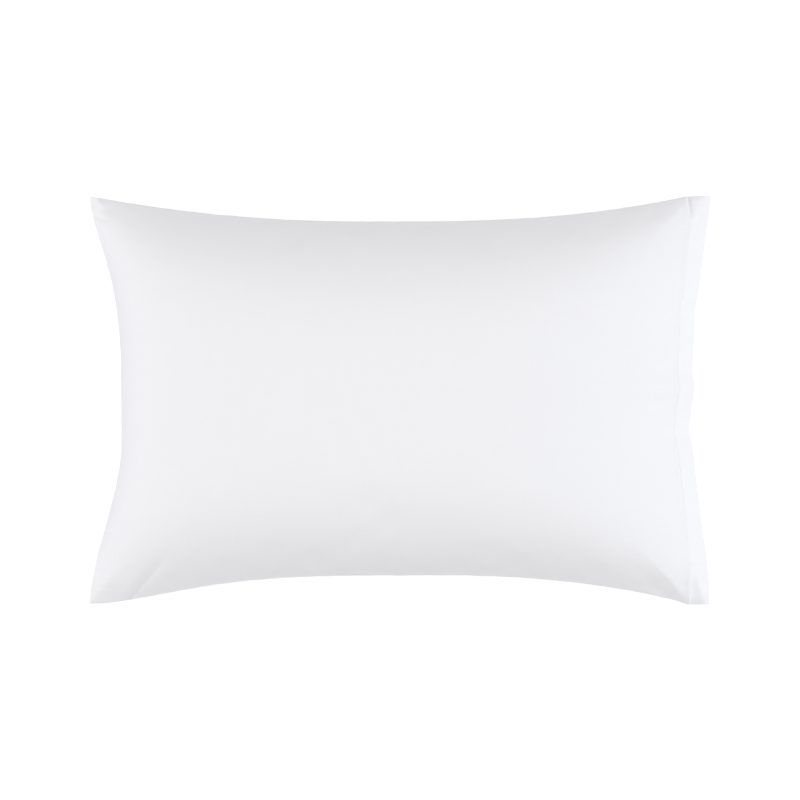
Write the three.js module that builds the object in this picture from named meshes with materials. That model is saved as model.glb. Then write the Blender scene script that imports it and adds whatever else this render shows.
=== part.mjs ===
// A pillow protector, filled by its pillow and lying on its back.
// Two white cloth panels are sewn together along both long sides and one end. At the other end, +X, the
// cloth is turned in and stitched as a hem. Millimetres, +Z up, +Y towards the top side of the front panel.
// The origin is the middle of the outline, on the surface that the back panel rests on.

import * as THREE from "three";
import { mergeVertices } from "three/addons/utils/BufferGeometryUtils.js";

// Size of the filled protector
const LENGTH = 725; // from corner to corner along a long side
const WIDTH = 477; // from corner to corner along an end
const SEAM_HEIGHT = 66; // sewn edge above the surface, halfway along a side
const CORNER_DROOP = 22; // how much lower the empty corners hang
const FRONT_CROWN = 104; // front panel's rise above the sewn edge
const BACK_CROWN = 94; // back panel's fall below the sewn edge, before the surface flattens it
const EDGE_THICKNESS = 3; // two layers of cloth with the seam allowance between them
const SETTLING = 9; // height over which the back panel curves into its flat footprint

// Hem at the open end
const HEM_WIDTH = 25; // seen flat, at the corners
const HEM_WIDTH_MIDDLE = 17.5; // in plan, halfway down, where the hem slopes
const HEM_LAYERS = 1; // extra thickness of the turned-in cloth
const STITCH_SINK = 0.6; // how far the stitching pulls the cloth in
const HEM_STEPS = [0, 0.14, 0.5, 0.86, 1]; // columns across the hem, from its stitching to its edge

// How far each side draws in between its corners. Deepest is a share of the half side, from its middle.
const SIDES = {
  top: { drawn: 29.5, deepest: -0.06, roundness: 2.9, flare: 1.3 },
  bottom: { drawn: 35, deepest: 0.06, roundness: 2.8, flare: 1.4 },
  left: { drawn: 37.5, deepest: 0.05, roundness: 3.1, flare: 2 },
  right: { drawn: 24, deepest: 0.04, roundness: 2, flare: 1.2 },
};

// How the panels close towards each side: a higher squareness keeps the crown full for longer, and a
// higher sharpness ends it in a wedge instead of a round edge. The empty corners are the sharpest.
const LEFT_END = { squareness: 3.6, sharpness: 0.55 };
const HEM_END = { squareness: 3, sharpness: 1.05 };
const TOP_SIDE = { squareness: 3, sharpness: 0.75 };
const BOTTOM_SIDE = { squareness: 3.3, sharpness: 0.66 };
const CORNER_SHARPNESS = 0.92;
const CORNER_SPREAD = 2; // higher keeps the sharp stretch nearer the corners
const CORNER_REACH = 4; // the same for their droop, and for the hem's full width

// Slack waves of the hem's edge: place across the end, half width, and how far each bulges out and up
const HEM_WAVES = [
  { at: 20, reach: 17, out: 2.2, up: 3 },
  { at: -30, reach: 20, out: -1.8, up: -3.5 },
  { at: 120, reach: 40, out: 0.6, up: 2 },
];
const WAVES_START = 0.7; // where they begin, as a share of the way from the middle to the hem's edge

// Creases at the corners, from where each is sharpest to where it dies out: half width and height
const FRONT_CREASES = [
  { from: [-359, -235], to: [-322, -190], width: 8, height: 5 }, // lower left corner's own ridge
  { from: [-318, -226], to: [-282, -172], width: 7, height: 5 }, // long fold beside it
  { from: [-310, -229], to: [-268, -180], width: 6, height: -5 }, // trough under the fold
  { from: [333, -232], to: [272, -168], width: 10, height: 8 }, // lower right fold, from the hem's corner
  { from: [316, -229], to: [280, -201], width: 8, height: -3 }, // trough under it
  { from: [336, 235], to: [312, 208], width: 8, height: 5 }, // upper right fold
  { from: [337, 238], to: [342, 206], width: 5, height: -3 }, // nick where the hem meets the top seam
  { from: [-355, 235], to: [-338, 219], width: 7, height: 3 }, // upper left corner's ridge
];
const BACK_CREASES = [
  { from: [-358, 234], to: [-306, 180], width: 9, height: -6 },
  { from: [-356, -233], to: [-300, -186], width: 10, height: -6 },
  { from: [336, 233], to: [286, 182], width: 9, height: -6 },
  { from: [336, -233], to: [290, -190], width: 9, height: -5 },
];
const CREASE_HOLD = 0.35; // share of a crease's length that keeps its full height
const TOGETHER = 12; // panels closer than about this share each other's creases

// Grid of the cloth: columns along the length without the hem's own, rows across the width
const BODY_COLUMNS = 48;
const ROWS = 36;
const CROWDING = 0.68; // how much closer the lines lie at the edges, from 0 to 1
const COLUMNS = BODY_COLUMNS + HEM_STEPS.length - 1;
const SAME_POINT = 1e-3; // corners of the grid's faces closer than this are joined

const { lerp, smoothstep } = THREE.MathUtils;

// -1 to 1, evenly stepped, with the steps crowded towards both ends
function crowded(step) {
  return step + (CROWDING / Math.PI) * Math.sin(Math.PI * step);
}

// How far one side is drawn in, at a place along it from -1 to 1
function drawnIn(side, along) {
  const offset = along - side.deepest;
  const reach = 1 - side.deepest * Math.sign(offset);
  const place = Math.min(1, Math.abs(offset) / reach);
  return side.drawn * (1 - place ** side.roundness) ** side.flare;
}

// Sum of the hem's waves at a height across the end, in the direction named by key
function hemWave(y, key) {
  const bulge = (wave) => wave[key] * Math.exp(-(((y - wave.at) / wave.reach) ** 2));
  return HEM_WAVES.reduce((sum, wave) => sum + bulge(wave), 0);
}

// Left and right ends of the outline, at b across the width
function endsAt(b) {
  const left = -LENGTH / 2 + drawnIn(SIDES.left, b);
  const right = LENGTH / 2 - drawnIn(SIDES.right, b) + hemWave((b * WIDTH) / 2, "out");
  return { left, right };
}

// Where a column of the grid lies along the length, from -1 to 1, and its share of the way across the hem
function columnAt(step, b) {
  const column = Math.round(((step + 1) / 2) * COLUMNS);
  const { left, right } = endsAt(b);
  const hemWidth = lerp(HEM_WIDTH_MIDDLE, HEM_WIDTH, Math.abs(b) ** CORNER_REACH);
  const hemLine = 1 - (2 * hemWidth) / (right - left);
  if (column >= BODY_COLUMNS) {
    const hemShare = HEM_STEPS[column - BODY_COLUMNS];
    return { a: lerp(hemLine, 1, hemShare), hemLine, hemShare };
  }
  const body = crowded((2 * column) / BODY_COLUMNS - 1);
  return { a: lerp(-1, hemLine, (body + 1) / 2), hemLine, hemShare: null };
}

// The outline's place for a point of the cloth. The hem's two ends run on straight past the drawn-in sides.
function planAt(a, b, hemLine) {
  const { left, right } = endsAt(b);
  const along = a > 0 ? Math.min(1, a / hemLine) : a;
  const bottom = -WIDTH / 2 + drawnIn(SIDES.bottom, along);
  const top = WIDTH / 2 - drawnIn(SIDES.top, along);
  return new THREE.Vector2(lerp(left, right, (a + 1) / 2), lerp(bottom, top, (b + 1) / 2));
}

// How full the cloth is towards one pair of sides, 1 in the middle and 0 at the edge
function closing(edge, across, along) {
  const sharpness = lerp(edge.sharpness, CORNER_SHARPNESS, Math.abs(along) ** CORNER_SPREAD);
  return (1 - Math.abs(across) ** edge.squareness) ** sharpness;
}

// Height that a set of creases adds at a point of the outline
function creased(creases, point) {
  return creases.reduce((sum, { from, to, width, height }) => {
    const start = new THREE.Vector2(...from);
    const run = new THREE.Vector2(...to).sub(start);
    const share = THREE.MathUtils.clamp(point.clone().sub(start).dot(run) / run.lengthSq(), 0, 1);
    const off = point.distanceTo(start.addScaledVector(run, share));
    const fade = 1 - smoothstep(share, CREASE_HOLD, 1);
    return sum + height * fade * Math.exp(-((off / width) ** 2));
  }, 0);
}

// The back panel rests on the surface: what would sink below it becomes the flat footprint
function settled(z) {
  if (z >= SETTLING) return z;
  return z <= -SETTLING ? 0 : (z + SETTLING) ** 2 / (4 * SETTLING);
}

// A point of the filled cloth. Steps run from -1 to 1, and panel is 1 on the front and -1 on the back.
function clothPoint(step, row, panel) {
  const b = crowded(row);
  const { a, hemLine, hemShare } = columnAt(step, b);
  const plan = planAt(a, b, hemLine);
  const endFullness = closing(a < 0 ? LEFT_END : HEM_END, a, b);
  const fullness = endFullness * closing(b < 0 ? BOTTOM_SIDE : TOP_SIDE, b, a);
  const onHem = hemShare === null ? 0 : smoothstep(hemShare, 0, HEM_STEPS[1]);
  const sink = hemShare === 0 ? STITCH_SINK : 0;
  const edge = EDGE_THICKNESS / 2 + onHem * HEM_LAYERS - sink;
  const wave = hemWave(plan.y, "up") * smoothstep(a, WAVES_START, 1);
  const seam = SEAM_HEIGHT - CORNER_DROOP * Math.abs(a * b) ** CORNER_REACH + wave;
  const gap = 2 * edge + (FRONT_CROWN + BACK_CROWN) * fullness;
  const together = 1 / (1 + (gap / TOGETHER) ** 2);
  const front = creased(FRONT_CREASES, plan);
  const back = creased(BACK_CREASES, plan);
  const z =
    panel > 0
      ? seam + edge + FRONT_CROWN * fullness + front + back * together
      : settled(seam - edge - BACK_CROWN * fullness + back + front * together);
  return new THREE.Vector3(plan.x, plan.y, z);
}

// Turns the diagonal of each square of the box's grid to run out towards the nearest corner, as the
// creases do. A square p, q, r, s comes as six indices, the triangles p, q, s and q, r, s.
function turnDiagonals(box) {
  const index = box.getIndex();
  const place = (k) => new THREE.Vector2().fromBufferAttribute(box.getAttribute("position"), k);
  for (let i = 0; i < index.count; i += 6) {
    const [p, q, s, , r] = index.array.slice(i, i + 6);
    const middle = place(q).add(place(s));
    const run = place(q).sub(place(s));
    if (middle.x * middle.y * run.x * run.y < 0) index.array.set([p, q, r, p, r, s], i);
  }
}

// The closed skin: a box whose large faces are the two panels, and whose four walls are the sewn edge and
// the hem's lip
function filledCloth() {
  const box = new THREE.BoxGeometry(2, 2, 2, COLUMNS, ROWS, 1);
  turnDiagonals(box);
  const position = box.getAttribute("position");
  for (let i = 0; i < position.count; i++) {
    const point = clothPoint(position.getX(i), position.getY(i), position.getZ(i));
    position.setXYZ(i, point.x, point.y, point.z);
  }
  box.deleteAttribute("normal");
  box.deleteAttribute("uv");
  const skin = mergeVertices(box, SAME_POINT);
  skin.computeVertexNormals();
  return skin;
}

const whiteCloth = new THREE.MeshStandardMaterial({ color: 0xf0eff3, roughness: 0.92, metalness: 0 });

const protector = new THREE.Mesh(filledCloth(), whiteCloth);
protector.name = "pillow_protector";

const part = new THREE.Group();
part.add(protector);

export default part;
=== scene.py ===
import math

import bpy
import numpy as np
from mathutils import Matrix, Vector


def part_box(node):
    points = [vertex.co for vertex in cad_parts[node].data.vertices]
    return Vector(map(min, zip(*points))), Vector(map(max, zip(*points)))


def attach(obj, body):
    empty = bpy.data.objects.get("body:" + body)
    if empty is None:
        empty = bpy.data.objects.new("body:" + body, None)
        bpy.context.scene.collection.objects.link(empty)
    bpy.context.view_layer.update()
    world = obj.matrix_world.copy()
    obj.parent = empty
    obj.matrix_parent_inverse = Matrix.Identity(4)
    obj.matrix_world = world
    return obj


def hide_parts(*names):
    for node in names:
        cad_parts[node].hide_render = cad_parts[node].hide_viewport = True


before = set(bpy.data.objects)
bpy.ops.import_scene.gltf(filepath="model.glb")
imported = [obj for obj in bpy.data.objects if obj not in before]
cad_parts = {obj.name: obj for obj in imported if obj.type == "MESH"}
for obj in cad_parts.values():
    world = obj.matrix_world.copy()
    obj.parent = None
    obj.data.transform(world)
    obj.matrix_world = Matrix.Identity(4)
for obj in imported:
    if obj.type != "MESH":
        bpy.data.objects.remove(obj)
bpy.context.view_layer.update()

# Cloth bag: two panels of white cotton, sewn together along both long sides and the left end and turned
# right side out, with a hem turned in round the open end. The pillow inside crowns them, draws the sides in
# and leaves the corners as flat, creased ears.

MM = 0.001
TINY = 1e-6
low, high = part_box("pillow_protector")
LENGTH = high.x - low.x
WIDTH = high.y - low.y
CUT_LENGTH = 0.750  # each panel as it is sewn, laid flat
CUT_WIDTH = 0.500
SEAM_HEIGHT = 0.066  # sewn edge above the surface, halfway along a side
EDGE = 0.0015  # half the thickness of the sewn edge
FRONT_CROWN = high.z - SEAM_HEIGHT - EDGE
BACK_CROWN = 0.094  # the back panel's fall, before the surface flattens it
CORNER_DROOP = (0.022, 0.018)  # how much lower the empty corners hang, at the left end and at the hem
FOOTPRINT_CURVE = 0.009  # height over which the back panel curves into its flat footprint

HEM_WIDTH = 0.025
HEM_WIDTH_MIDDLE = 0.0175  # in plan, where the hem slopes
HEM_LAYERS = 0.0012  # extra thickness of the turned-in cloth
HEM_STEP = (-0.008, 0.001)  # where that thickness begins and is full, from the hem's stitching
HEM_THINNING = 0.6  # share of it that is pressed out again towards the hem's edge
HEM_NICK = (0.0010, 0.003)  # how far the stitching gathers the top seam in, and over what half length

# How far each side draws in between its corners, in millimetres: at both ends, and at the deepest place
# along it. Roundness and flare shape the curve before and after that place, from the left or from the bottom.
SIDES = {
    "top": {
        "ends": (0.6, 0.0), "drawn": 30.2, "deepest": -0.04, "roundness": (2.4, 2.7), "flare": (1.08, 1.04)
    },
    "bottom": {
        "ends": (0.6, -0.3), "drawn": 34.0, "deepest": 0.16, "roundness": (4.0, 2.1), "flare": (2.05, 0.9)
    },
    "left": {
        "ends": (0.1, 0.3), "drawn": 37.7, "deepest": -0.23, "roundness": (1.62, 4.2), "flare": (1.68, 1.95)
    },
    "right": {
        "ends": (1.0, -0.6), "drawn": 23.1, "deepest": 0.04, "roundness": (2.07, 1.6), "flare": (1.74, 1.08)
    },
}

# How the panels close towards each side. A higher squareness keeps the crown full for longer: it is given
# for the side's two ends and, between them, for its middle. A higher sharpness ends the crown in a wedge
# instead of a round edge.
LEFT_END = {"squareness": (4.0, 4.0, 4.0), "sharpness": 0.51}
HEM_END = {"squareness": (2.45, 2.45, 2.45), "sharpness": 0.92}
TOP_SIDE = {"squareness": (3.8, 3.2, 5.6), "sharpness": 0.96}
BOTTOM_SIDE = {"squareness": (3.0, 3.9, 6.1), "sharpness": 1.09}
CORNER_SHARPNESS = 0.97
CORNER_SPREAD = 2.9  # higher keeps the corners' own closing nearer to them
CORNER_REACH = 4  # the same for their droop, and for the hem's full width
CORNER_HIP = 0.3  # how far the corners are hipped like a roof, from 0, rounded, to 1
HIP_CRISPNESS = 5

# Slack waves of the hem's edge: place across the end, half width, and how far each bulges out and up
HEM_WAVES = (
    {"at": 0.0135, "reach": 0.015, "out": 0.0033, "up": 0.003},
    {"at": -0.035, "reach": 0.020, "out": -0.0030, "up": -0.0035},
    {"at": 0.102, "reach": 0.021, "out": -0.0022, "up": -0.001},
)
WAVES_START = 0.7  # where they begin to rise, as a share of the way from the middle to the hem's edge

# Grid of each panel
BODY_COLUMNS = 224
HEM_COLUMNS = 16
ROWS = 172
SEAM_CROWDING = 0.96  # how much closer its lines lie at the seams than in the middle, from 0 to 1
HEM_CROWDING = 0.8  # the same for the columns beside the hem's stitching
CROWDING_CHANGE = (-0.4, 0.4)  # between these steps the one crowding passes into the other


def smooth(value, start, end):
    """0 before start, 1 after end, and an even curve between them."""
    share = np.clip((value - start) / (end - start), 0, 1)
    return share * share * (3 - 2 * share)


def towards_seams(step):
    """Places from -1 to 1 for even steps, closer at both ends, where the cloth turns down to its seams."""
    return SEAM_CROWDING * np.sin(math.pi / 2 * step) + (1 - SEAM_CROWDING) * step


def towards_hem(step):
    """The same, but closing up less at the far end, beside the hem."""
    looser = step + HEM_CROWDING / math.pi * np.sin(math.pi * step)
    share = smooth(step, *CROWDING_CHANGE)
    return towards_seams(step) * (1 - share) + looser * share


def drawn_in(side, along):
    """How far in a side lies at a place along it, from -1 to 1."""
    offset = along - side["deepest"]
    past = offset > 0
    place = np.minimum(1, np.abs(offset) / np.where(past, 1 - side["deepest"], 1 + side["deepest"]))
    roundness, flare = (np.where(past, side[key][1], side[key][0]) for key in ("roundness", "flare"))
    first, last = side["ends"]
    return (first + (last - first) * (along + 1) / 2 + side["drawn"] * (1 - place**roundness) ** flare) * MM


def hem_wave(y, way):
    """Sum of the hem's waves at a place across the end, out or up."""
    return sum(wave[way] * np.exp(-(((y - wave["at"]) / wave["reach"]) ** 2)) for wave in HEM_WAVES)


def closing(edge, across, along):
    """How full the cloth is towards one side, 1 in the middle and 0 at the edge."""
    first, middle, last = edge["squareness"]
    near_corner = np.abs(along) ** CORNER_SPREAD
    squareness = middle + (np.where(along < 0, first, last) - middle) * near_corner
    sharpness = edge["sharpness"] + (CORNER_SHARPNESS - edge["sharpness"]) * near_corner
    return (1 - np.abs(across) ** squareness) ** sharpness


def cloth_grid(body_columns, hem_columns, rows):
    """Each point's place on the cloth, from -1 to 1 both ways, in plan, and how far over the hem it is."""
    b = towards_seams(np.linspace(-1, 1, rows + 1))[:, None]
    left = -LENGTH / 2 + drawn_in(SIDES["left"], b)
    right = LENGTH / 2 - drawn_in(SIDES["right"], b) + hem_wave(b * WIDTH / 2, "out")
    hem_width = HEM_WIDTH_MIDDLE + (HEM_WIDTH - HEM_WIDTH_MIDDLE) * np.abs(b) ** CORNER_REACH
    hem_line = 1 - 2 * hem_width / (right - left)
    body = (towards_hem(np.linspace(-1, 1, body_columns + 1))[None, :] + 1) / 2
    hem = (1 - np.cos(math.pi * np.linspace(0, 1, hem_columns + 1)))[None, 1:] / 2
    a = np.concatenate([-1 + (hem_line + 1) * body, hem_line + (1 - hem_line) * hem], axis=1)
    hem_share = np.concatenate([np.zeros_like(body), hem], axis=1) + np.zeros_like(a)
    along = np.where(a > 0, np.minimum(1, a / hem_line), a)
    bottom = -WIDTH / 2 + drawn_in(SIDES["bottom"], along)
    top = WIDTH / 2 - drawn_in(SIDES["top"], along)
    x = left + (right - left) * (a + 1) / 2
    hem_x = x[:, body_columns, None]
    nick, reach = HEM_NICK
    top = top - nick * np.exp(-(((x - hem_x) / reach) ** 2))
    y = bottom + (top - bottom) * (b + 1) / 2
    return {"a": a, "b": b + np.zeros_like(a), "x": x, "y": y, "hem_x": hem_x, "hem_share": hem_share}


def rested(z):
    """The back panel rests on the surface: what would sink below it becomes the flat footprint."""
    curve = (np.clip(z, -FOOTPRINT_CURVE, FOOTPRINT_CURVE) + FOOTPRINT_CURVE) ** 2 / (4 * FOOTPRINT_CURVE)
    return np.where(z >= FOOTPRINT_CURVE, z, curve)


def filled(grid):
    """Front and back panel of the filled bag, each as rows of points."""
    a, b = grid["a"], grid["b"]
    end = np.where(a < 0, closing(LEFT_END, a, b), closing(HEM_END, a, b))
    side = np.where(b < 0, closing(BOTTOM_SIDE, b, a), closing(TOP_SIDE, b, a))
    fuller = ((end**HIP_CRISPNESS + side**HIP_CRISPNESS) / 2) ** (1 / HIP_CRISPNESS)
    fullness = end * side / np.maximum(fuller, TINY) ** CORNER_HIP
    layers = HEM_LAYERS * (1 - HEM_THINNING * grid["hem_share"])
    edge = EDGE + layers * smooth(grid["x"] - grid["hem_x"], *HEM_STEP)
    wave = hem_wave(grid["y"], "up") * smooth(a, WAVES_START, 1)
    droop = CORNER_DROOP[0] + (CORNER_DROOP[1] - CORNER_DROOP[0]) * (a + 1) / 2
    seam = SEAM_HEIGHT - droop * np.abs(a * b) ** CORNER_REACH + wave
    front = seam + edge + FRONT_CROWN * fullness
    back = rested(seam - edge - BACK_CROWN * fullness)
    return [np.stack([grid["x"], grid["y"], z], axis=-1) for z in (front, back)]


grid = cloth_grid(BODY_COLUMNS, HEM_COLUMNS, ROWS)
front, back = filled(grid)

# The bag then settles as cloth. The pillow presses from inside, the seams, the hem and the footprint are
# held, and what is slack beside the seams gathers into soft folds, mostly on the back panel.
CELL = 0.005  # of the settling cloth
PRESSURE = 2.0  # of the pillow inside
STRETCH = 30  # how stiffly the cotton takes a pull or a push
SHEAR = 5  # and a pull on the bias
BENDING = 6  # and a bend
POINT_MASS = 0.2
SLACK = 0.014  # how much longer the cloth is beside the seams than its place there, as a share
FRONT_SLACK = 0.12  # share of that slack which the front panel has
SLACK_REACH = 0.05  # from the seams
HELD_HEIGHT = 0.0015  # cloth below this rests on the surface and is held
SETTLING_FRAMES = 20
SETTLING_STEPS = 6  # in a frame
MOST_SETTLING = 0.004  # the furthest that a point may move


def even_steps(line):
    """Places along a line of points, counted in its points, that divide it into even cells."""
    run = np.concatenate([[0], np.cumsum(np.linalg.norm(np.diff(line, axis=0), axis=1))])
    return np.interp(np.linspace(0, run[-1], round(run[-1] / CELL) + 1), run, np.arange(len(run)))


def between(panel, rows, columns):
    """A panel's points at places between its rows and columns."""
    for axis, places in ((0, rows), (1, columns)):
        first = np.minimum(places.astype(int), panel.shape[axis] - 2)
        share = np.expand_dims(places - first, (1 - axis, 2))
        panel = panel.take(first, axis) * (1 - share) + panel.take(first + 1, axis) * share
    return panel


def spread(places, count):
    """Cubic weights that carry values at count even steps to places between them, with both ends still."""
    first = np.minimum(places.astype(int), count - 2)
    past = places - first
    rising = 1 + 3 * past + 3 * past**2 - 3 * past**3
    falling = 4 - 6 * past**2 + 3 * past**3
    weights = np.zeros((len(places), count + 2))
    for k, part in enumerate(((1 - past) ** 3, falling, rising, past**3)):
        weights[np.arange(len(places)), first + k] += part / 6
    weights[:, 2] -= weights[:, 0]
    weights[:, -3] -= weights[:, -1]
    return weights[:, 1:-1]


def squares(numbers):
    """The corners of each cell in a grid of numbered points, anticlockwise from above."""
    corners = [numbers[:-1, :-1], numbers[:-1, 1:], numbers[1:, 1:], numbers[1:, :-1]]
    return np.stack(corners, axis=-1).reshape(-1, 4)


def new_object(name, data):
    """An object for a mesh, light or lens, put into the scene."""
    thing = bpy.data.objects.new(name, data)
    bpy.context.scene.collection.objects.link(thing)
    return thing


def after_settling(cloth):
    """Where the points of a cloth object lie once the pillow has pressed it out."""
    settling = cloth.modifiers.new("settling", "CLOTH")
    settling.collision_settings.use_collision = False
    settling.point_cache.frame_start = 1
    settling.point_cache.frame_end = SETTLING_FRAMES
    cotton = settling.settings
    cotton.quality = SETTLING_STEPS
    cotton.mass = POINT_MASS
    cotton.tension_stiffness = STRETCH
    cotton.compression_stiffness = STRETCH
    cotton.shear_stiffness = SHEAR
    cotton.bending_stiffness = BENDING
    cotton.vertex_group_mass = "held"
    cotton.vertex_group_shrink = "taut"
    cotton.shrink_min = -SLACK
    cotton.use_pressure = True
    cotton.uniform_pressure_force = PRESSURE
    cotton.effector_weights.gravity = 0
    for number in range(1, SETTLING_FRAMES + 1):
        bpy.context.scene.frame_set(number)
    pressed = cloth.evaluated_get(bpy.context.evaluated_depsgraph_get()).data
    places = np.empty(3 * len(pressed.vertices), np.float32)
    pressed.vertices.foreach_get("co", places)
    bpy.context.scene.frame_set(1)
    return places.reshape(-1, 3)


def settled_cloth(front, back):
    """How far each point of both panels moves when the filled bag settles."""
    rows = even_steps(front[:, front.shape[1] // 2])
    columns = even_steps(front[front.shape[0] // 2])
    panels = [between(panel, rows, columns) for panel in (front, back)]
    shape = panels[0].shape[:2]
    seam = np.ones(shape, bool)
    seam[1:-1, 1:-1] = False
    panels[0][seam] = panels[1][seam] = (panels[0][seam] + panels[1][seam]) / 2
    front_numbers = np.arange(seam.size).reshape(shape)
    back_numbers = front_numbers.copy()
    back_numbers[~seam] = seam.size + np.arange((~seam).sum())
    points = np.concatenate([panels[0].reshape(-1, 3), panels[1][~seam]])
    faces = np.concatenate([squares(front_numbers), squares(back_numbers)[:, ::-1]])
    mesh = bpy.data.meshes.new("settling_cloth")
    mesh.from_pydata(points.tolist(), [], faces.tolist())
    cloth = new_object("settling_cloth", mesh)

    on_hem = np.broadcast_to(columns >= BODY_COLUMNS, shape)
    held = np.concatenate([(seam | on_hem).ravel(), on_hem[~seam]]) | (points[:, 2] < HELD_HEIGHT)
    cloth.vertex_groups.new(name="held").add(np.flatnonzero(held).tolist(), 1.0, "REPLACE")
    from_ends = [np.minimum(np.arange(n), n - 1 - np.arange(n)) * CELL for n in shape]
    near_seam = np.exp(-((np.minimum(*np.ix_(*from_ends)) / SLACK_REACH) ** 2))
    slack = np.concatenate([near_seam.ravel() * FRONT_SLACK, near_seam[~seam]])
    taut = cloth.vertex_groups.new(name="taut")
    for number, weight in enumerate((1 - slack).tolist()):
        taut.add([number], weight, "REPLACE")

    move = after_settling(cloth) - points
    bpy.data.objects.remove(cloth)
    bpy.data.meshes.remove(mesh)
    move *= MOST_SETTLING / np.maximum(MOST_SETTLING, np.linalg.norm(move, axis=1, keepdims=True))
    across = spread(np.interp(np.arange(front.shape[0]), rows, np.arange(len(rows))), len(rows))
    along = spread(np.interp(np.arange(front.shape[1]), columns, np.arange(len(columns))), len(columns))
    moves = (move[numbers] for numbers in (front_numbers, back_numbers))
    return [np.einsum("ir,rck,jc->ijk", across, panel, along, optimize=True) for panel in moves]


front_settling, back_settling = settled_cloth(front, back)
front = front + front_settling
back = back + back_settling


def cloth_places(panel):
    """Each point's place on the flat cloth in metres, along its length and across it."""
    places = []
    for axis, cut in ((1, CUT_LENGTH), (0, CUT_WIDTH)):
        steps = np.linalg.norm(np.diff(panel, axis=axis), axis=-1)
        start = np.zeros_like(panel[..., 0]).take([0], axis=axis)
        run = np.concatenate([start, np.cumsum(steps, axis=axis)], axis=axis)
        places.append(run / run.take([-1], axis=axis) * cut)
    return np.stack(places, axis=-1)


front_cloth = cloth_places(front)
back_cloth = cloth_places(back)

# Creases at the corners, in millimetres of the outline. Each path runs from where the crease is sharpest to
# where it dies out. Widths are of the facets to the left and right of it, and crest is how round its top is.
# Foot is how softly the facets run out into the cloth, hold the share of the length that keeps the full
# height, and taper how much the facets narrow along it, or widen where it is negative.
FRONT_CREASES = (
    # Lower left ear: its own ridge, the sharp trough beside it, the thin ridge on the trough's edge, and a
    # short one at the end seam
    {"path": ((-361, -237), (-344, -216), (-320, -188)), "widths": (16, 18), "height": 4.0, "crest": 0.5},
    {"path": ((-313, -231), (-293, -208), (-264, -176)), "widths": (11, 2), "height": -3.9, "crest": 0.3,
     "foot": 0.03},
    {"path": ((-318, -225), (-308, -207), (-297, -188)), "widths": (6, 4), "height": 0.8, "crest": 0.3},
    {"path": ((-352, -178), (-343, -169), (-334, -162)), "widths": (6, 3), "height": 1.0, "crest": 0.5},
    # Lower right ear: the crisp fold from the hem's corner, the soft trough under it, the thin ridge of the
    # hem's stitching, and the two sides of the pleat across the hem
    {"path": ((334, -235), (312, -207.5), (274, -170), (245, -157)), "widths": (12, 36), "height": 5.6,
     "crest": 0.2, "hold": 0.25, "taper": -0.9},
    {"path": ((316, -229), (294.5, -219.5), (274, -206)), "widths": (6, 7), "height": -1.8, "crest": 0.8},
    {"path": ((337, -237), (336, -215), (337, -195)), "widths": (2.4, 2.4), "height": 0.7, "crest": 0.4},
    {"path": ((338.5, -238), (341.5, -196)), "widths": (2, 17), "height": -3.3, "crest": 0.3, "foot": 0.05,
     "taper": 0.9},
    {"path": ((356.5, -240), (342.5, -198)), "widths": (16, 14), "height": 2.6, "crest": 0.4, "foot": 0.08,
     "taper": 0.8},
    # Upper right ear: its fold, the nick where the hem meets the top seam, the flat triangle beside it, the
    # ridge of the pleat across the hem, and the hem's stiff outer stripe
    {"path": ((336, 237), (318, 214), (278, 178)), "widths": (18, 34), "height": 4.6, "crest": 0.6,
     "hold": 0.2},
    {"path": ((335.6, 240), (339.6, 208)), "widths": (4, 3), "height": -1.7, "crest": 0.3, "foot": 0.08,
     "taper": 0.5},
    {"path": ((335.6, 240), (339.6, 204)), "widths": (14, 2), "height": -1.7, "crest": 0.3, "foot": 0.08,
     "taper": 0.8},
    {"path": ((352.5, 240), (338.5, 201)), "widths": (13, 14), "height": 2.2, "crest": 0.4, "foot": 0.08,
     "taper": 0.8},
    {"path": ((355, 240), (353, 215), (352, 194)), "widths": (14, 3.5), "height": 1.3, "crest": 0.5},
    # Upper left ear: one small ridge, and the dimple beside it
    {"path": ((-357, 240), (-344, 222)), "widths": (8, 9), "height": 4.6, "crest": 0.3, "foot": 0.08,
     "hold": 0.6},
    {"path": ((-360, 217), (-347, 211.5), (-337, 209)), "widths": (2.5, 3.5), "height": -2.6, "crest": 0.5},
    # Faint drag lines where the hem's slack reaches into the front panel
    {"path": ((262, 72), (240, 79), (215, 80)), "widths": (16, 16), "height": 0.5, "crest": 4.0},
    {"path": ((205, 30), (175, 28), (140, 36)), "widths": (16, 16), "height": 0.5, "crest": 4.0},
)
# On the back each ear has one ridge and the trough beside it
BACK_CREASES = (
    {"path": ((-359, 236), (-332, 208), (-302, 176)), "widths": (16, 12), "height": 4.0, "crest": 1.0},
    {"path": ((-330, 232), (-308, 206), (-286, 190)), "widths": (6, 12), "height": -3.0, "crest": 0.8},
    {"path": ((-359, -236), (-330, -212), (-296, -182)), "widths": (16, 12), "height": 4.0, "crest": 1.0},
    {"path": ((-352, -205), (-336, -190), (-318, -170)), "widths": (6, 12), "height": -2.5, "crest": 0.8},
    {"path": ((336, 236), (312, 210), (282, 178)), "widths": (14, 16), "height": 4.5, "crest": 0.7},
    {"path": ((312, 229), (296, 206), (276, 194)), "widths": (6, 12), "height": -2.5, "crest": 1.0},
    {"path": ((336, -236), (314, -212), (284, -184)), "widths": (16, 14), "height": 4.0, "crest": 0.7},
    {"path": ((306, -226), (294, -208), (274, -194)), "widths": (6, 12), "height": -2.0, "crest": 1.0},
)
TOGETHER = 0.012  # where the panels are closer than about this, the back one follows the front one's creases
FOOTPRINT_FADE = 0.012  # the back's creases and lumps are full from this height, so the footprint stays flat


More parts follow.
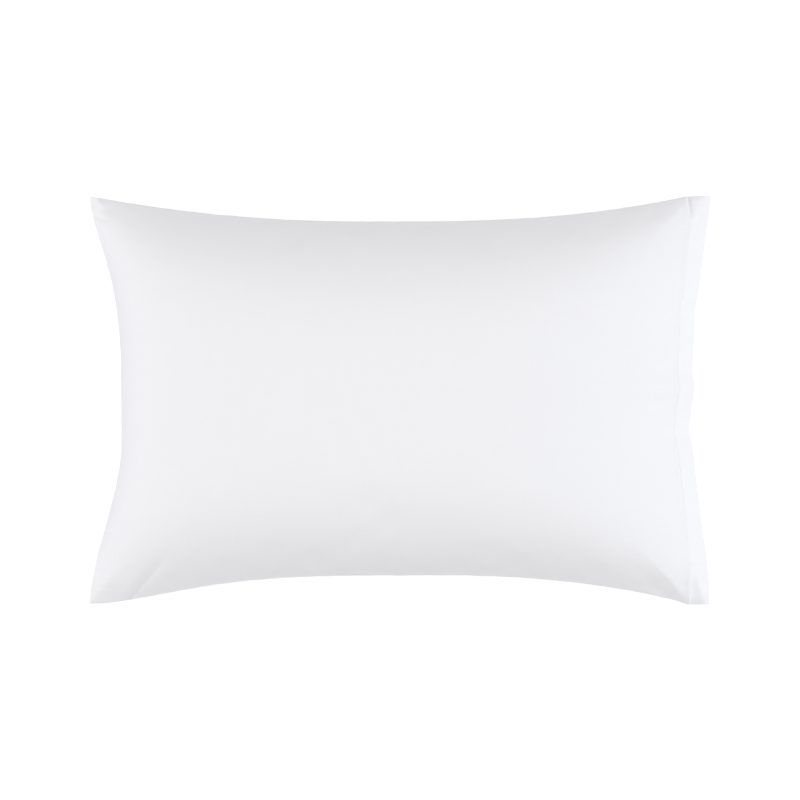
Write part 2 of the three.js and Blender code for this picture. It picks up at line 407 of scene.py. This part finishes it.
def crease(x, y, path, widths, height, crest, foot=0.15, hold=0.45, taper=0.0):
    """Height of one crease at each point: a crest along its path, with a flat facet on each side."""
    corners = np.array(path) * MM
    runs = np.diff(corners, axis=0)
    lengths = np.linalg.norm(runs, axis=1)
    passed = np.concatenate([[0], np.cumsum(lengths)]) / lengths.sum()
    nearest = np.full(x.shape, np.inf)
    aside = np.zeros(x.shape)
    along = np.zeros(x.shape)
    for k, (corner, run, length) in enumerate(zip(corners, runs, lengths)):
        off_x, off_y = x - corner[0], y - corner[1]
        share = np.clip((off_x * run[0] + off_y * run[1]) / length**2, 0, 1)
        distance = np.hypot(off_x - share * run[0], off_y - share * run[1])
        closer = distance < nearest
        nearest = np.where(closer, distance, nearest)
        aside = np.where(closer, np.sign(run[0] * off_y - run[1] * off_x) * distance, aside)
        along = np.where(closer, passed[k] + share * (passed[k + 1] - passed[k]), along)
    left, right = widths
    width = (right + (left - right) * smooth(aside, -crest * MM, crest * MM)) * (1 - taper * along) * MM
    facet = 1 - (np.hypot(nearest, crest * MM) - crest * MM) / width
    fall = (facet + np.hypot(facet, foot)) / (1 + math.hypot(1, foot))
    return height * MM * fall * (1 - smooth(along, hold, 1))


# Small unevenness of the filling under the cloth, puckers where the seam's thread gathers it, and the
# channel that the hem's stitching pulls into it
LUMPS = 70
LUMP_SIZES = (0.030, 0.080)
LUMP_HEIGHT = 0.0007
LUMP_FADE = 0.1  # the lumps are full where the panels are this far apart
PUCKER_SPACING = 0.0075
PUCKER_WIDTHS = (0.0018, 0.0042)
PUCKER_REACHES = (0.008, 0.020)
PUCKER_HEIGHT = 0.0002
STITCH_SINK = 0.0002
STITCH_CHANNEL = 0.0016  # how far each side of the hem's stitching the cloth dips
UNEVENNESS_SEED = 14


def lumps(panel, draw):
    """Height of the filling's lumps and hollows under a panel."""
    height = np.zeros(panel.shape[:2])
    for _ in range(LUMPS):
        x = draw.uniform(-LENGTH / 2, LENGTH / 2)
        y = draw.uniform(-WIDTH / 2, WIDTH / 2)
        size = draw.uniform(*LUMP_SIZES)
        rise = draw.uniform(-LUMP_HEIGHT, LUMP_HEIGHT)
        height += rise * np.exp(-((panel[..., 0] - x) ** 2 + (panel[..., 1] - y) ** 2) / size**2)
    return height


def seam_puckers(cloth, draw):
    """Little pinches in the cloth along the three seams and the hem's stitching."""
    along_length, across = cloth[..., 0], cloth[..., 1]
    hem_line = CUT_LENGTH - HEM_WIDTH
    seams = (
        (along_length, across, CUT_LENGTH),
        (along_length, CUT_WIDTH - across, CUT_LENGTH),
        (across, along_length, CUT_WIDTH),
        (across, np.abs(along_length - hem_line), CUT_WIDTH),
    )
    height = np.zeros(along_length.shape)
    for along, inwards, length in seams:
        for place in np.arange(PUCKER_SPACING, length, PUCKER_SPACING):
            place += draw.uniform(-0.5, 0.5) * PUCKER_SPACING
            width = draw.uniform(*PUCKER_WIDTHS)
            reach = draw.uniform(*PUCKER_REACHES)
            rise = draw.normal() * PUCKER_HEIGHT
            pinch = np.exp(-(((along - place) / width) ** 2) - (inwards / reach) ** 2)
            height += rise * pinch
    return height


def stitch_channel(cloth, hem_share):
    """How deep the hem's stitching pulls the cloth in on both sides of it."""
    off = np.where(hem_share > 0, hem_share * HEM_WIDTH, cloth[..., 0] - (CUT_LENGTH - HEM_WIDTH))
    return -STITCH_SINK * np.exp(-((off / STITCH_CHANNEL) ** 2))


def facing(panel):
    """Unit directions square to a panel's surface, upwards where it is level."""
    normal = np.cross(np.gradient(panel, axis=1), np.gradient(panel, axis=0))
    return normal / np.linalg.norm(normal, axis=-1, keepdims=True)


UP = np.array((0.0, 0.0, 1.0))
draw = np.random.default_rng(UNEVENNESS_SEED)
gap = np.linalg.norm(front - back, axis=-1)
plump = smooth(gap, 0, LUMP_FADE)
together = (1 / (1 + (gap / TOGETHER) ** 2))[..., None]
off_surface = smooth(back[..., 2], 0, FOOTPRINT_FADE)
front_folds = sum(crease(grid["x"], grid["y"], **fold) for fold in FRONT_CREASES)
back_folds = sum(crease(grid["x"], grid["y"], **fold) for fold in BACK_CREASES)
front_move = UP * front_folds[..., None]
back_move = -UP * (back_folds * off_surface)[..., None]
front_detail = lumps(front, draw) * plump + seam_puckers(front_cloth, draw)
back_detail = lumps(back, draw) * plump * off_surface + seam_puckers(back_cloth, draw)
front_detail += stitch_channel(front_cloth, grid["hem_share"])
back_detail += stitch_channel(back_cloth, grid["hem_share"])
front_move += facing(front) * front_detail[..., None]
back_move -= facing(back) * (back_detail * off_surface)[..., None]
front = front + front_move
back = back + back_move * (1 - together) + front_move * together
back[..., 2] = np.maximum(back[..., 2], 0)

# The edge seen from its end, from the front panel to the middle: how far out each line of it lies, in
# millimetres, and its share of the half thickness. Along a seam the panels meet in a groove. At the open end
# they are two folded lips with a narrow mouth between them.
SEAM_EDGE = ((0.1, 0.8), (0.1, 0.5), (-0.1, 0.25), (-0.4, 0.1), (-0.9, 0.05), (-1.4, 0.02))
LIP_EDGE = ((0.35, 0.9), (0.5, 0.78), (0.35, 0.66), (-0.2, 0.56), (-5.0, 0.42), (-11.0, 0.2))
MOUTH_ENDS = (0.004, 0.030)  # where the mouth begins and is fully open, from the hem's ends
CORNER_TUCK = 0.005  # the groove runs out this close to a corner


def rim(panel):
    """The points round a panel's edge, in turn, anticlockwise from its lower left corner."""
    return np.concatenate([panel[0, :-1], panel[:-1, -1], panel[-1, :0:-1], panel[:0:-1, 0]])


def outwards(loop):
    """Level directions pointing out of a closed loop of points."""
    run = np.roll(loop, -1, axis=0) - np.roll(loop, 1, axis=0)
    run = run[:, :2] / np.linalg.norm(run[:, :2], axis=1)[:, None]
    return np.stack([run[:, 1], -run[:, 0]], axis=1)


def edge_lines(front, back, cloth):
    """Lines of points round the edge, from the front panel to the back one."""
    upper, lower, place = rim(front), rim(back), rim(cloth)
    middle, half = (upper + lower) / 2, (upper - lower) / 2
    out = np.pad(outwards(middle), ((0, 0), (0, 1)))
    from_sides = np.minimum(place[:, 1], CUT_WIDTH - place[:, 1])
    from_ends = np.minimum(place[:, 0], CUT_LENGTH - place[:, 0])
    open_end = place[:, 0] > CUT_LENGTH - TINY
    mouth = np.where(open_end, smooth(from_sides, *MOUTH_ENDS), 0)[:, None]
    tuck = smooth(np.maximum(from_sides, from_ends), 0, CORNER_TUCK)[:, None]
    lines = []
    for (seam_out, seam_share), (lip_out, lip_share) in zip(SEAM_EDGE, LIP_EDGE):
        reach = (seam_out + (lip_out - seam_out) * mouth) * tuck * MM
        share = seam_share + (lip_share - seam_share) * mouth
        lines.append((middle + out * reach + half * share, middle + out * reach - half * share))
    return [line for line, _ in lines] + [line for _, line in reversed(lines)]


# Both panels lie side by side on one square of cloth, which the weave is drawn on
SHEET = 1.03  # metres a side
SHEET_MARGIN = 0.005
SHEET_GAP = 0.013  # room for the edges of both panels
BACK_SHEET = CUT_WIDTH + SHEET_GAP  # how far across the sheet the back panel begins


def laid_flat(cloth, run):
    """The edge's lines laid flat on the sheet, outwards from a panel's rim."""
    widths = [np.linalg.norm(b - a, axis=1) for a, b in zip(run, run[1:])]
    flat = rim(cloth)
    reach = np.cumsum([np.zeros(len(flat)), *widths], axis=0)
    return [flat + outwards(flat) * step[:, None] for step in reach]


def sewn_mesh(name, front, back, lines, front_cloth, back_cloth):
    """One closed skin: both panels, and the edge where they are sewn together."""
    rows, columns = front.shape[:2]
    count = rows * columns
    numbers = np.arange(count).reshape(rows, columns)
    cells = squares(numbers)
    edge_numbers = rim(numbers[..., None])[:, 0]
    around = len(edge_numbers)
    rings = [edge_numbers]
    rings += [2 * count + k * around + np.arange(around) for k in range(len(lines))]
    rings.append(edge_numbers + count)
    front_places = front_cloth + SHEET_MARGIN
    back_places = back_cloth + (SHEET_MARGIN, BACK_SHEET)
    faces = [cells, cells[:, ::-1] + count]
    places = [front_places.reshape(-1, 2)[cells], back_places.reshape(-1, 2)[cells[:, ::-1]]]
    half = len(lines) // 2 + 1
    laid_front = laid_flat(front_places, [rim(front), *lines[:half]])
    laid_back = laid_flat(back_places, [rim(back), *lines[: half - 2 : -1]])[::-1]
    for k, (upper, lower) in enumerate(zip(rings, rings[1:])):
        laid = laid_front[k : k + 2] if k < half else laid_back[k - half : k - half + 2]
        faces.append(np.stack([upper, lower, np.roll(lower, -1), np.roll(upper, -1)], axis=-1))
        turned = [np.roll(laid[1], -1, axis=0), np.roll(laid[0], -1, axis=0)]
        places.append(np.stack([*laid, *turned], axis=1))
    points = np.concatenate([front.reshape(-1, 3), back.reshape(-1, 3), *lines])
    mesh = bpy.data.meshes.new(name)
    mesh.from_pydata(points.tolist(), [], np.concatenate(faces).tolist())
    layer = mesh.uv_layers.new(name="OFBake")
    layer.uv.foreach_set("vector", (np.concatenate(places) / SHEET).astype(np.float32).ravel())
    mesh.shade_smooth()
    return mesh


lines = edge_lines(front, back, front_cloth)
bag_mesh = sewn_mesh("pillow_cloth", front, back, lines, front_cloth, back_cloth)
doubled = (grid["hem_share"] > 0)[..., None]
doubled = np.concatenate([doubled.ravel(), doubled.ravel(), np.tile(rim(doubled)[:, 0], len(lines))])
bag_mesh.attributes.new("doubled", "FLOAT", "POINT").data.foreach_set("value", doubled.astype(np.float32))
bag = new_object("pillow_cloth", bag_mesh)

# The cotton: a fine plain weave, with uneven yarns both ways that show as faint streaks. The doubled cloth
# of the hem lets less light through, so it is whiter. The gaps between the yarns are painted darker than
# the middles of the yarns, as painted shade of the weave's relief.
YARN_PITCH = 0.0004
WEAVE_HEIGHT = 0.00003
STREAKS = {"warp": (25, 600), "weft": (600, 25)}  # how many a metre, along the length and across
STREAK_DETAIL = 2.0
STREAK_RANGE = (0.7, 1.3)  # sum of both streaks at a thin and at a thick place
STREAK_HEIGHT = 0.000025
STREAK_WHITES = ((0.853, 0.850, 0.868, 1), (0.863, 0.860, 0.877, 1))
STREAK_ROUGHNESS = (0.84, 0.96)
DOUBLED_WHITENESS = 1.4  # how many times the difference of those whites the doubled cloth gains
# painted shade: the gaps between the yarns are drawn darker than the middles of the yarns
GAP_SHADE_STRENGTH = 2.0  # the same for the middle of a yarn over the gaps beside it
COTTON_GLOSS = 0.25
COTTON_SHEEN = 0.12
COTTON_SHEEN_ROUGHNESS = 0.5


def reckon(tree, operation, *values):
    """The output of a new Math node, fed with numbers or with other nodes' outputs."""
    node = tree.nodes.new("ShaderNodeMath")
    node.operation = operation
    for socket, value in zip(node.inputs, values):
        if isinstance(value, bpy.types.NodeSocket):
            tree.links.new(value, socket)
        else:
            socket.default_value = value
    return node.outputs["Value"]


def white_between(tree, share, whites):
    """A colour that passes from one white to another, and beyond it where the share is over 1."""
    tint = tree.nodes.new("ShaderNodeMix")
    tint.data_type = "RGBA"
    tint.clamp_factor = False
    first, second, result = tint.inputs[6], tint.inputs[7], tint.outputs[2]  # its colour sockets
    first.default_value, second.default_value = whites
    tree.links.new(share, tint.inputs["Factor"])
    return result


def raised(tree, height, depth):
    """A bump of some depth in metres."""
    bump = tree.nodes.new("ShaderNodeBump")
    bump.inputs["Distance"].default_value = depth
    tree.links.new(height, bump.inputs["Height"])
    return bump


white_cotton = bpy.data.materials.new("white_cotton")
white_cotton.use_nodes = True
cotton = white_cotton.node_tree
nodes, links = cotton.nodes, cotton.links
shader = nodes["Principled BSDF"]
shader.inputs["Specular IOR Level"].default_value = COTTON_GLOSS
shader.inputs["Sheen Weight"].default_value = COTTON_SHEEN
shader.inputs["Sheen Roughness"].default_value = COTTON_SHEEN_ROUGHNESS

sheet_map = nodes.new("ShaderNodeUVMap")
sheet_map.uv_map = "OFBake"
on_sheet = nodes.new("ShaderNodeVectorMath")
on_sheet.operation = "SCALE"
on_sheet.inputs["Scale"].default_value = SHEET
links.new(sheet_map.outputs["UV"], on_sheet.inputs["Vector"])
place = nodes.new("ShaderNodeSeparateXYZ")
links.new(on_sheet.outputs["Vector"], place.inputs["Vector"])

turns = [reckon(cotton, "MULTIPLY", place.outputs[way], math.pi / YARN_PITCH) for way in "XY"]
weave = reckon(cotton, "MULTIPLY", *[reckon(cotton, "SINE", turn) for turn in turns])

streaks = []
for yarns, (along, across) in STREAKS.items():
    stretch = nodes.new("ShaderNodeVectorMath")
    stretch.operation = "MULTIPLY"
    stretch.inputs[1].default_value = (along, across, 1)
    uneven = nodes.new("ShaderNodeTexNoise")
    uneven.label = yarns
    uneven.noise_dimensions = "2D"
    uneven.inputs["Scale"].default_value = 1.0
    uneven.inputs["Detail"].default_value = STREAK_DETAIL
    links.new(on_sheet.outputs["Vector"], stretch.inputs[0])
    links.new(stretch.outputs["Vector"], uneven.inputs["Vector"])
    streaks.append(uneven.outputs["Fac"])

slub = nodes.new("ShaderNodeMapRange")
slub.inputs["From Min"].default_value, slub.inputs["From Max"].default_value = STREAK_RANGE
links.new(reckon(cotton, "ADD", *streaks), slub.inputs["Value"])
layers = nodes.new("ShaderNodeAttribute")
layers.attribute_name = "doubled"
layers_whiteness = reckon(
    cotton, "MULTIPLY_ADD", layers.outputs["Fac"], DOUBLED_WHITENESS, slub.outputs["Result"]
)
# painted shade of the weave: the middles of the yarns lighter, the gaps between them darker
yarn_relief_shading = reckon(cotton, "ABSOLUTE", weave)
whiteness = reckon(cotton, "MULTIPLY_ADD", yarn_relief_shading, GAP_SHADE_STRENGTH, layers_whiteness)
links.new(white_between(cotton, whiteness, STREAK_WHITES), shader.inputs["Base Color"])
dullness = nodes.new("ShaderNodeMapRange")
dullness.inputs["To Min"].default_value, dullness.inputs["To Max"].default_value = STREAK_ROUGHNESS
links.new(slub.outputs["Result"], dullness.inputs["Value"])
links.new(dullness.outputs["Result"], shader.inputs["Roughness"])

slub_bump = raised(cotton, slub.outputs["Result"], STREAK_HEIGHT)
weave_bump = raised(cotton, weave, WEAVE_HEIGHT)
links.new(slub_bump.outputs["Normal"], weave_bump.inputs["Normal"])
links.new(weave_bump.outputs["Normal"], shader.inputs["Normal"])
bag.data.materials.append(white_cotton)

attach(bag, "root")
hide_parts("pillow_protector")

# Hem stitching: one row of white lockstitch that holds the turned-in hem, right round the open end. Each
# stitch is a short length of twisted thread that comes up through the cloth, lies along it and goes down
# again.

STITCH_LENGTH = 0.0021
STITCH_PITCH = 0.0027  # from one stitch to the next
STITCH_ARCH = 0.00036
# The three points that bend a stitch, as shares of its length and of its arch
STITCH_SHAPE = {"Start": (-0.5, -0.4), "Middle": (0, 1.7), "End": (0.5, -0.4)}
STITCH_STEPS = 4
STITCH_SWAY = 0.06  # radians either way
STITCH_SEED = 5
THREAD = 0.00042  # its diameter
THREAD_SIDES = 6
THREAD_WHITES = ((0.82, 0.817, 0.835, 1), (0.90, 0.897, 0.915, 1))
THREAD_GLOSS = 0.35
THREAD_ROUGHNESS = 0.7
TWIST_SCALE = 900
TWIST_WANDER = 1.0
PLY_HEIGHT = 0.00004
ROW_ENDS = 2  # rows of the cloth's grid left free at each end

sewn_rows = slice(ROW_ENDS, ROWS + 1 - ROW_ENDS)
front_row, back_row = front[sewn_rows, BODY_COLUMNS], back[sewn_rows, BODY_COLUMNS]
front_facing, back_facing = facing(front)[sewn_rows, BODY_COLUMNS], -facing(back)[sewn_rows, BODY_COLUMNS]
row_facing = np.concatenate([front_facing, back_facing])
count = len(front_row)
row_mesh = bpy.data.meshes.new("hem_stitches")
row_edges = [(k, k + 1) for k in range(2 * count - 1) if k != count - 1]
row_mesh.from_pydata(np.concatenate([front_row, back_row]).tolist(), row_edges, [])
row_mesh.attributes.new("facing", "FLOAT_VECTOR", "POINT").data.foreach_set("vector", row_facing.ravel())
stitches = new_object("hem_stitches", row_mesh)

white_thread = bpy.data.materials.new("white_thread")
white_thread.use_nodes = True
thread = white_thread.node_tree
nodes, links = thread.nodes, thread.links
shader = nodes["Principled BSDF"]
shader.inputs["Specular IOR Level"].default_value = THREAD_GLOSS
shader.inputs["Roughness"].default_value = THREAD_ROUGHNESS
spot = nodes.new("ShaderNodeTexCoord")
twist = nodes.new("ShaderNodeTexWave")
twist.bands_direction = "DIAGONAL"
twist.inputs["Scale"].default_value = TWIST_SCALE
twist.inputs["Distortion"].default_value = TWIST_WANDER
links.new(spot.outputs["Object"], twist.inputs["Vector"])
links.new(white_between(thread, twist.outputs["Fac"], THREAD_WHITES), shader.inputs["Base Color"])
plies = raised(thread, twist.outputs["Fac"], PLY_HEIGHT)
links.new(plies.outputs["Normal"], shader.inputs["Normal"])

stitching = bpy.data.node_groups.new("hem_stitching", "GeometryNodeTree")
stitching.is_modifier = True
stitching.interface.new_socket("Row", in_out="INPUT", socket_type="NodeSocketGeometry")
SETTINGS = {
    "Stitch Length": ("NodeSocketFloat", STITCH_LENGTH),
    "Pitch": ("NodeSocketFloat", STITCH_PITCH),
    "Thread": ("NodeSocketFloat", THREAD),
    "Arch": ("NodeSocketFloat", STITCH_ARCH),
    "Sway": ("NodeSocketFloat", STITCH_SWAY),
    "Seed": ("NodeSocketInt", STITCH_SEED),
    "Material": ("NodeSocketMaterial", white_thread),
}
sockets = {}
for name, (kind, _) in SETTINGS.items():
    sockets[name] = stitching.interface.new_socket(name, in_out="INPUT", socket_type=kind).identifier
stitching.interface.new_socket("Stitches", in_out="OUTPUT", socket_type="NodeSocketGeometry")
nodes, links = stitching.nodes, stitching.links
given = nodes.new("NodeGroupInput")
made = nodes.new("NodeGroupOutput")

# One stitch: an arch of thread along X, with its two ends in the cloth
arch = nodes.new("GeometryNodeCurveQuadraticBezier")
arch.inputs["Resolution"].default_value = STITCH_STEPS
for end, (side, height) in STITCH_SHAPE.items():
    point = nodes.new("ShaderNodeCombineXYZ")
    links.new(reckon(stitching, "MULTIPLY", given.outputs["Stitch Length"], side), point.inputs["X"])
    links.new(reckon(stitching, "MULTIPLY", given.outputs["Arch"], height), point.inputs["Z"])
    links.new(point.outputs["Vector"], arch.inputs[end])
yarn = nodes.new("GeometryNodeCurvePrimitiveCircle")
yarn.inputs["Resolution"].default_value = THREAD_SIDES
links.new(reckon(stitching, "MULTIPLY", given.outputs["Thread"], 0.5), yarn.inputs["Radius"])
stitch = nodes.new("GeometryNodeCurveToMesh")
stitch.inputs["Fill Caps"].default_value = True
links.new(arch.outputs["Curve"], stitch.inputs["Curve"])
links.new(yarn.outputs["Curve"], stitch.inputs["Profile Curve"])

# The row: even steps along the hem, each stitch turned with the cloth and a little askew
line = nodes.new("GeometryNodeMeshToCurve")
steps = nodes.new("GeometryNodeResampleCurve")
steps.mode = "LENGTH"
links.new(given.outputs["Row"], line.inputs["Mesh"])
links.new(line.outputs["Curve"], steps.inputs["Curve"])
links.new(given.outputs["Pitch"], steps.inputs["Length"])
out_of_cloth = nodes.new("GeometryNodeInputNamedAttribute")
out_of_cloth.data_type = "FLOAT_VECTOR"
out_of_cloth.inputs["Name"].default_value = "facing"
tangent = nodes.new("GeometryNodeInputTangent")
lie = nodes.new("FunctionNodeAxesToRotation")
lie.primary_axis, lie.secondary_axis = "Z", "X"
links.new(out_of_cloth.outputs["Attribute"], lie.inputs["Primary Axis"])
links.new(tangent.outputs["Tangent"], lie.inputs["Secondary Axis"])
askew = nodes.new("FunctionNodeRandomValue")
askew.data_type = "FLOAT"
least, most, angle = askew.inputs[2], askew.inputs[3], askew.outputs[1]  # its float sockets
links.new(reckon(stitching, "MULTIPLY", given.outputs["Sway"], -1), least)
links.new(given.outputs["Sway"], most)
links.new(given.outputs["Seed"], askew.inputs["Seed"])
about = nodes.new("FunctionNodeAxisAngleToRotation")
about.inputs["Axis"].default_value = (0, 0, 1)
links.new(angle, about.inputs["Angle"])
turned = nodes.new("FunctionNodeRotateRotation")
turned.rotation_space = "LOCAL"
links.new(lie.outputs["Rotation"], turned.inputs["Rotation"])
links.new(about.outputs["Rotation"], turned.inputs["Rotate By"])
placed = nodes.new("GeometryNodeInstanceOnPoints")
links.new(steps.outputs["Curve"], placed.inputs["Points"])
links.new(stitch.outputs["Mesh"], placed.inputs["Instance"])
links.new(turned.outputs["Rotation"], placed.inputs["Rotation"])
whole = nodes.new("GeometryNodeRealizeInstances")
rounded = nodes.new("GeometryNodeSetShadeSmooth")
dyed = nodes.new("GeometryNodeSetMaterial")
links.new(placed.outputs["Instances"], whole.inputs["Geometry"])
links.new(whole.outputs["Geometry"], rounded.inputs["Geometry"])
links.new(rounded.outputs["Geometry"], dyed.inputs["Geometry"])
links.new(given.outputs["Material"], dyed.inputs["Material"])
links.new(dyed.outputs["Geometry"], made.inputs["Stitches"])

sewing = stitches.modifiers.new("sewing", "NODES")
sewing.node_group = stitching
for name, (_, value) in SETTINGS.items():
    sewing[sockets[name]] = value
depsgraph = bpy.context.evaluated_depsgraph_get()
stitch_mesh = bpy.data.meshes.new_from_object(stitches.evaluated_get(depsgraph))
stitches.modifiers.remove(sewing)
stitches.data = stitch_mesh

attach(stitches, "root")

# Stage: a plain white floor, exposed to pure white for the camera alone. Soft studio light comes from both
# ends and from above, and the camera is straight above the front panel.

HALF_FLOOR = 2.0
FLOOR_DROP = 0.0002  # keeps it just clear of the footprint
FLOOR_PAINT = (0.8, 0.8, 0.8, 1)
FLOOR_EXPOSURE = 0.45  # added for the camera
ROOM_LIGHT = 0.607
BACKDROP_EXPOSURE = 1.25  # of the room as the camera sees it
WHITE = (1, 1, 1, 1)
LIGHTS = {
    "left_light": {"place": (-2.2, 0, 0.9), "size": (2.0, 1.2), "power": 14.2, "tint": (0.948, 0.949, 1.0)},
    "right_light": {"place": (2.2, 0, 0.9), "size": (2.0, 1.2), "power": 17.2, "tint": (0.867, 0.921, 1.0)},
    "overhead_light": {"place": (0, 0, 3.2), "size": (1.2, 1.2), "power": 25.5, "tint": (1.0, 0.984, 0.969)},
}
CAMERA_HEIGHT = 8.0
PHOTO_SPAN = 0.9325  # metres across the picture, at the height of the sewn edge
SENSOR = 36  # millimetres

floor_mesh = bpy.data.meshes.new("floor")
floor_corners = [(-1, -1), (1, -1), (1, 1), (-1, 1)]
floor_points = [(x * HALF_FLOOR, y * HALF_FLOOR, -FLOOR_DROP) for x, y in floor_corners]
floor_mesh.from_pydata(floor_points, [], [(0, 1, 2, 3)])
floor = new_object("floor", floor_mesh)
floor_paint = bpy.data.materials.new("floor_paint")
floor_paint.use_nodes = True
painted = floor_paint.node_tree
paint = painted.nodes["Principled BSDF"]
paint.inputs["Base Color"].default_value = FLOOR_PAINT
paint.inputs["Roughness"].default_value = 1.0
paint.inputs["Specular IOR Level"].default_value = 0.0
paint.inputs["Emission Color"].default_value = WHITE
seen = painted.nodes.new("ShaderNodeLightPath")
glow = reckon(painted, "MULTIPLY", seen.outputs["Is Camera Ray"], FLOOR_EXPOSURE)
painted.links.new(glow, paint.inputs["Emission Strength"])
floor_mesh.materials.append(floor_paint)

world = bpy.data.worlds.new("studio")
world.use_nodes = True
nodes, links = world.node_tree.nodes, world.node_tree.links
room_light = nodes["Background"]
backdrop = nodes.new("ShaderNodeBackground")
for background, strength in ((room_light, ROOM_LIGHT), (backdrop, BACKDROP_EXPOSURE)):
    background.inputs["Color"].default_value = WHITE
    background.inputs["Strength"].default_value = strength
seen = nodes.new("ShaderNodeLightPath")
either = nodes.new("ShaderNodeMixShader")
links.new(seen.outputs["Is Camera Ray"], either.inputs["Fac"])
links.new(room_light.outputs["Background"], either.inputs[1])
links.new(backdrop.outputs["Background"], either.inputs[2])
links.new(either.outputs["Shader"], nodes["World Output"].inputs["Surface"])
bpy.context.scene.world = world

# Each light is a soft rectangle, turned to the middle of the pillow
middle = Vector((0, 0, SEAM_HEIGHT))
for name, setting in LIGHTS.items():
    lamp = bpy.data.lights.new(name, "AREA")
    lamp.shape = "RECTANGLE"
    lamp.size, lamp.size_y = setting["size"]
    lamp.energy = setting["power"]
    lamp.color = setting["tint"]
    light = new_object(name, lamp)
    light.location = setting["place"]
    light.rotation_euler = (middle - Vector(setting["place"])).to_track_quat("-Z", "Y").to_euler()
    light.visible_camera = False

lens = bpy.data.cameras.new("camera")
lens.sensor_width = SENSOR
lens.lens = SENSOR * (CAMERA_HEIGHT - SEAM_HEIGHT) / PHOTO_SPAN
camera = new_object("camera", lens)
camera.location = (0, 0, CAMERA_HEIGHT)
bpy.context.scene.camera = camera
bpy.context.scene.view_settings.view_transform = "Standard"

bpy.context.view_layer.update()
